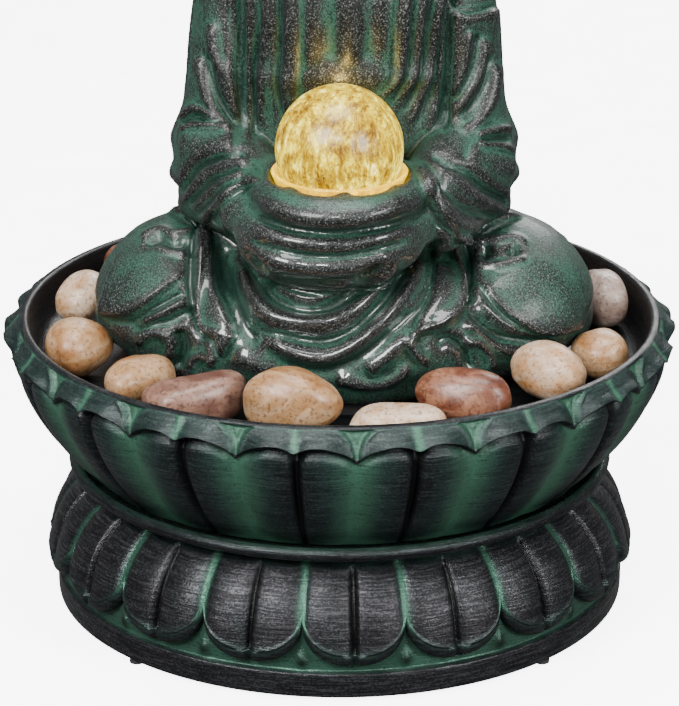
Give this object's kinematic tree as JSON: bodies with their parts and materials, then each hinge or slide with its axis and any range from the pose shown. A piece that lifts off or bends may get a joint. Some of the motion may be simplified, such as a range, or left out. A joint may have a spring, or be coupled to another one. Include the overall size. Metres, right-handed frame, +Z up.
{
  "type": "tabletop water fountain",
  "caption": "Tabletop water fountain: seated robed figure holding a lit crystal ball over a lotus-petal basin of river stones on a lotus pedestal.",
  "frame": {"origin": "middle of the underside of the foot pads, on the basin's axis", "axes": "+Z up, the figure faces -Y, +X is to the viewer's right"},
  "size_m": [0.209, 0.2076, 0.2916],
  "materials": {
    "pedestal_resin": "brushed dark pewter over verdigris, satin",
    "basin_resin": "blue-black petals with verdigris edges, satin; near-black inside",
    "figure_resin": "verdigris with speckled pewter on the ridges, wet gloss",
    "crystal": "crackled, glowing warm",
    "clear_cup": "clear moulding tinted amber by the lamp",
    "led_emitter": "warm white emitter ring",
    "pump_black": "moulded, fine grain",
    "pump_grey": "moulded, satin",
    "hose_clear": "translucent soft tube",
    "lead_black": "smooth sheath",
    "black_rubber": "matt",
    "screw_steel": "zinc plated",
    "stone_cream": "polished river stone",
    "stone_tan": "polished river stone",
    "stone_mauve": "polished river stone",
    "stone_russet": "polished river stone",
    "stone_grey": "polished river stone"
  },
  "bodies": {
    "root": {"lotus_pedestal": "pedestal_resin", "lotus_basin": "basin_resin", "figure_shell": "figure_resin", "figure_torso": "figure_resin", "cupped_hands": "figure_resin", "water_nozzle": "clear_cup", "led_ring": "led_emitter", "pump_body": "pump_black", "pump_volute": "pump_grey", "feed_hose": "hose_clear", "led_lead": "lead_black", "pump_lead": "lead_black", "cable_grommet": "black_rubber", "under_lead": "lead_black", "dc_socket": "pump_black", "basin_screw_1": "screw_steel", "basin_screw_2": "screw_steel", "basin_screw_3": "screw_steel", "foot_pad_1": "black_rubber", "suction_cup_1": "black_rubber", "foot_pad_2": "black_rubber", "suction_cup_2": "black_rubber", "foot_pad_3": "black_rubber", "suction_cup_3": "black_rubber", "foot_pad_4": "black_rubber", "suction_cup_4": "black_rubber", "pebble_01": "stone_cream", "pebble_02": "stone_tan", "pebble_03": "stone_tan", "pebble_04": "stone_mauve", "pebble_05": "stone_tan", "pebble_06": "stone_cream", "pebble_07": "stone_russet", "pebble_08": "stone_cream", "pebble_09": "stone_tan", "pebble_10": "stone_grey", "pebble_11": "stone_grey", "pebble_12": "stone_cream", "pebble_13": "stone_russet", "pebble_14": "stone_tan", "pebble_15": "stone_mauve", "pebble_16": "stone_russet"},
    "cup": {"ball_cup": "clear_cup"},
    "ball": {"crystal_ball": "crystal"},
    "rear_door": {"rear_cover": "figure_resin"},
    "strainer": {"pump_cover": "pump_black"},
    "dial": {"flow_dial": "pump_grey"},
    "impeller": {"pump_impeller": "pump_grey"}
  },
  "joints": [
    {"name": "cup_lift", "type": "slide", "parent": "root", "child": "cup", "axis": [0, 0, 1], "range_m": [0, 0.016]},
    {"name": "ball_spin", "type": "hinge", "parent": "cup", "child": "ball", "pos_m": [0, -0.038, 0.156], "axis": [1, 0, 0], "continuous": true},
    {"name": "rear_door_pull", "type": "slide", "parent": "root", "child": "rear_door", "axis": [0, 1, 0], "range_m": [0, 0.05]},
    {"name": "strainer_pull", "type": "slide", "parent": "root", "child": "strainer", "axis": [0, 1, 0], "range_m": [0, 0.012]},
    {"name": "flow_dial_turn", "type": "hinge", "parent": "strainer", "child": "dial", "pos_m": [0, -0.003, 0.073], "axis": [0, 1, 0], "range_deg": [-60, 60]},
    {"name": "impeller_spin", "type": "hinge", "parent": "root", "child": "impeller", "pos_m": [0, -0.029, 0.073], "axis": [0, 1, 0], "continuous": true}
  ]
}
